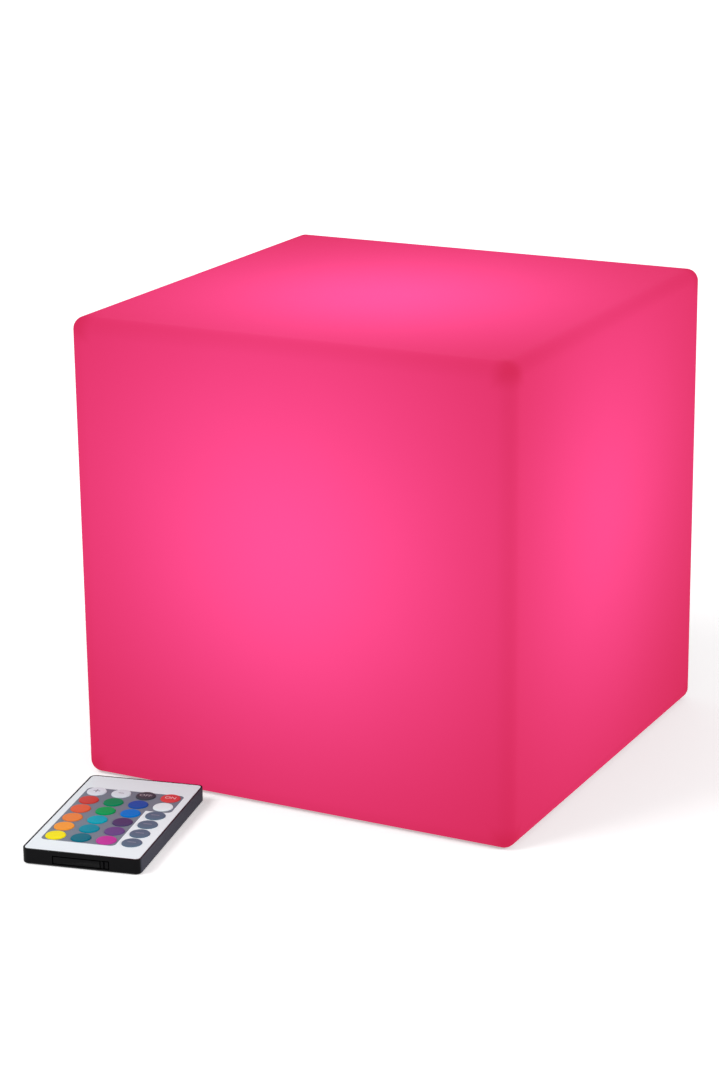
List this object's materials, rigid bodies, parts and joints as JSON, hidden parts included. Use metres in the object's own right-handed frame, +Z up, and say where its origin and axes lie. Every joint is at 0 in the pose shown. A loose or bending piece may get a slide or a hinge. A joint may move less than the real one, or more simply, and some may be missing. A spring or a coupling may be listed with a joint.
{
  "type": "led cube light",
  "caption": "Hollow milky cube lamp glowing in colour, with a sealed light engine in its base and a slim keypad remote lying before it.",
  "frame": {"origin": "centre of the cube's underside, on the surface it stands on", "axes": "+Z up; -Y out of the cube's front face, where the remote lies; +X to the right as seen from the front"},
  "size_m": [0.2, 0.293, 0.2],
  "materials": {
    "milky_shell": "satin, lit from inside in pink",
    "brass": "turned",
    "clear_silicone": "matt silicone",
    "black_silicone": "matt silicone",
    "white_abs": "fine moulded texture",
    "screw_steel": "zinc plated",
    "button_rubber": "matt silicone",
    "switch_plastic": "moulded",
    "clear_acrylic": "polished",
    "green_board": "solder mask",
    "chip_epoxy": "moulded epoxy",
    "cell_sleeve": "shrink sleeve",
    "nickel": "nickel plated",
    "white_board": "white solder mask on aluminium",
    "led_package": "white package",
    "dark_epoxy": "infrared-passing epoxy",
    "frosted_dome": "frosted",
    "remote_black": "fine moulded texture",
    "white_film": "printed polyester film",
    "ir_led_clear": "clear epoxy",
    "key_brighter_print": "printed polyester film, embossed",
    "key_dimmer_print": "printed polyester film, embossed",
    "key_off_print": "printed polyester film, embossed",
    "key_on_print": "printed polyester film, embossed",
    "key_red_print": "printed polyester film, embossed",
    "key_green_print": "printed polyester film, embossed",
    "key_blue_print": "printed polyester film, embossed",
    "key_white_print": "printed polyester film, embossed",
    "key_orange_red_print": "printed polyester film, embossed",
    "key_leaf_green_print": "printed polyester film, embossed",
    "key_sky_blue_print": "printed polyester film, embossed",
    "key_mode_1_print": "printed polyester film, embossed",
    "key_orange_print": "printed polyester film, embossed",
    "key_cyan_print": "printed polyester film, embossed",
    "key_dark_purple_print": "printed polyester film, embossed",
    "key_mode_2_print": "printed polyester film, embossed",
    "key_light_orange_print": "printed polyester film, embossed",
    "key_teal_print": "printed polyester film, embossed",
    "key_purple_print": "printed polyester film, embossed",
    "key_mode_3_print": "printed polyester film, embossed",
    "key_yellow_print": "printed polyester film, embossed",
    "key_dark_teal_print": "printed polyester film, embossed",
    "key_magenta_print": "printed polyester film, embossed",
    "key_mode_4_print": "printed polyester film, embossed"
  },
  "bodies": {
    "root": {"cube_shell": "milky_shell", "threaded_inserts": "brass", "shell_gasket": "clear_silicone", "base_housing": "white_abs", "battery_cradle": "white_abs", "housing_screws": "screw_steel", "base_cover": "white_abs", "cover_seal": "black_silicone", "cover_screws": "screw_steel", "button_boot": "clear_silicone", "tact_switch": "switch_plastic", "charge_jack": "switch_plastic", "charge_light_pipe": "clear_acrylic", "control_board": "green_board", "control_chips": "chip_epoxy", "board_link": "switch_plastic", "board_screws": "screw_steel", "battery_cell": "cell_sleeve", "cell_contacts": "nickel", "led_board": "white_board", "rgb_leds": "led_package", "ir_receiver": "dark_epoxy", "led_screws": "screw_steel", "light_dome": "frosted_dome", "dome_seal": "clear_silicone"},
    "power_button": {"power_button": "button_rubber", "switch_plunger": "switch_plastic"},
    "port_plug": {"port_plug": "black_silicone"},
    "remote": {"remote_case": "remote_black", "remote_face": "white_film", "remote_board": "green_board", "remote_chip": "chip_epoxy", "remote_ir_led": "ir_led_clear", "coin_contacts": "nickel"},
    "battery_tray": {"battery_tray": "remote_black", "coin_cell": "nickel"},
    "key_brighter": {"key_brighter": "key_brighter_print"},
    "key_dimmer": {"key_dimmer": "key_dimmer_print"},
    "key_off": {"key_off": "key_off_print"},
    "key_on": {"key_on": "key_on_print"},
    "key_red": {"key_red": "key_red_print"},
    "key_green": {"key_green": "key_green_print"},
    "key_blue": {"key_blue": "key_blue_print"},
    "key_white": {"key_white": "key_white_print"},
    "key_orange_red": {"key_orange_red": "key_orange_red_print"},
    "key_leaf_green": {"key_leaf_green": "key_leaf_green_print"},
    "key_sky_blue": {"key_sky_blue": "key_sky_blue_print"},
    "key_mode_1": {"key_mode_1": "key_mode_1_print"},
    "key_orange": {"key_orange": "key_orange_print"},
    "key_cyan": {"key_cyan": "key_cyan_print"},
    "key_dark_purple": {"key_dark_purple": "key_dark_purple_print"},
    "key_mode_2": {"key_mode_2": "key_mode_2_print"},
    "key_light_orange": {"key_light_orange": "key_light_orange_print"},
    "key_teal": {"key_teal": "key_teal_print"},
    "key_purple": {"key_purple": "key_purple_print"},
    "key_mode_3": {"key_mode_3": "key_mode_3_print"},
    "key_yellow": {"key_yellow": "key_yellow_print"},
    "key_dark_teal": {"key_dark_teal": "key_dark_teal_print"},
    "key_magenta": {"key_magenta": "key_magenta_print"},
    "key_mode_4": {"key_mode_4": "key_mode_4_print"}
  },
  "joints": [
    {"name": "remote_lift", "type": "slide", "parent": "root", "child": "remote", "axis": [0, 0, 1], "range_m": [0, 0.12]},
    {"name": "battery_tray_slide", "type": "slide", "parent": "remote", "child": "battery_tray", "axis": [0.2079, -0.9781, 0], "range_m": [0, 0.026]},
    {"name": "power_button_press", "type": "slide", "parent": "root", "child": "power_button", "axis": [0, 0, 1], "range_m": [0, 0.0005], "stiffness_N_per_m": 1500},
    {"name": "port_plug_pull", "type": "slide", "parent": "root", "child": "port_plug", "axis": [0, 0, -1], "range_m": [0, 0.008]},
    {"name": "key_brighter_press", "type": "slide", "parent": "remote", "child": "key_brighter", "axis": [0, 0, -1], "range_m": [0, 0.00025], "stiffness_N_per_m": 800},
    {"name": "key_dimmer_press", "type": "slide", "parent": "remote", "child": "key_dimmer", "axis": [0, 0, -1], "range_m": [0, 0.00025], "stiffness_N_per_m": 800},
    {"name": "key_off_press", "type": "slide", "parent": "remote", "child": "key_off", "axis": [0, 0, -1], "range_m": [0, 0.00025], "stiffness_N_per_m": 800},
    {"name": "key_on_press", "type": "slide", "parent": "remote", "child": "key_on", "axis": [0, 0, -1], "range_m": [0, 0.00025], "stiffness_N_per_m": 800},
    {"name": "key_red_press", "type": "slide", "parent": "remote", "child": "key_red", "axis": [0, 0, -1], "range_m": [0, 0.00025], "stiffness_N_per_m": 800},
    {"name": "key_green_press", "type": "slide", "parent": "remote", "child": "key_green", "axis": [0, 0, -1], "range_m": [0, 0.00025], "stiffness_N_per_m": 800},
    {"name": "key_blue_press", "type": "slide", "parent": "remote", "child": "key_blue", "axis": [0, 0, -1], "range_m": [0, 0.00025], "stiffness_N_per_m": 800},
    {"name": "key_white_press", "type": "slide", "parent": "remote", "child": "key_white", "axis": [0, 0, -1], "range_m": [0, 0.00025], "stiffness_N_per_m": 800},
    {"name": "key_orange_red_press", "type": "slide", "parent": "remote", "child": "key_orange_red", "axis": [0, 0, -1], "range_m": [0, 0.00025], "stiffness_N_per_m": 800},
    {"name": "key_leaf_green_press", "type": "slide", "parent": "remote", "child": "key_leaf_green", "axis": [0, 0, -1], "range_m": [0, 0.00025], "stiffness_N_per_m": 800},
    {"name": "key_sky_blue_press", "type": "slide", "parent": "remote", "child": "key_sky_blue", "axis": [0, 0, -1], "range_m": [0, 0.00025], "stiffness_N_per_m": 800},
    {"name": "key_mode_1_press", "type": "slide", "parent": "remote", "child": "key_mode_1", "axis": [0, 0, -1], "range_m": [0, 0.00025], "stiffness_N_per_m": 800},
    {"name": "key_orange_press", "type": "slide", "parent": "remote", "child": "key_orange", "axis": [0, 0, -1], "range_m": [0, 0.00025], "stiffness_N_per_m": 800},
    {"name": "key_cyan_press", "type": "slide", "parent": "remote", "child": "key_cyan", "axis": [0, 0, -1], "range_m": [0, 0.00025], "stiffness_N_per_m": 800},
    {"name": "key_dark_purple_press", "type": "slide", "parent": "remote", "child": "key_dark_purple", "axis": [0, 0, -1], "range_m": [0, 0.00025], "stiffness_N_per_m": 800},
    {"name": "key_mode_2_press", "type": "slide", "parent": "remote", "child": "key_mode_2", "axis": [0, 0, -1], "range_m": [0, 0.00025], "stiffness_N_per_m": 800},
    {"name": "key_light_orange_press", "type": "slide", "parent": "remote", "child": "key_light_orange", "axis": [0, 0, -1], "range_m": [0, 0.00025], "stiffness_N_per_m": 800},
    {"name": "key_teal_press", "type": "slide", "parent": "remote", "child": "key_teal", "axis": [0, 0, -1], "range_m": [0, 0.00025], "stiffness_N_per_m": 800},
    {"name": "key_purple_press", "type": "slide", "parent": "remote", "child": "key_purple", "axis": [0, 0, -1], "range_m": [0, 0.00025], "stiffness_N_per_m": 800},
    {"name": "key_mode_3_press", "type": "slide", "parent": "remote", "child": "key_mode_3", "axis": [0, 0, -1], "range_m": [0, 0.00025], "stiffness_N_per_m": 800},
    {"name": "key_yellow_press", "type": "slide", "parent": "remote", "child": "key_yellow", "axis": [0, 0, -1], "range_m": [0, 0.00025], "stiffness_N_per_m": 800},
    {"name": "key_dark_teal_press", "type": "slide", "parent": "remote", "child": "key_dark_teal", "axis": [0, 0, -1], "range_m": [0, 0.00025], "stiffness_N_per_m": 800},
    {"name": "key_magenta_press", "type": "slide", "parent": "remote", "child": "key_magenta", "axis": [0, 0, -1], "range_m": [0, 0.00025], "stiffness_N_per_m": 800},
    {"name": "key_mode_4_press", "type": "slide", "parent": "remote", "child": "key_mode_4", "axis": [0, 0, -1], "range_m": [0, 0.00025], "stiffness_N_per_m": 800}
  ]
}
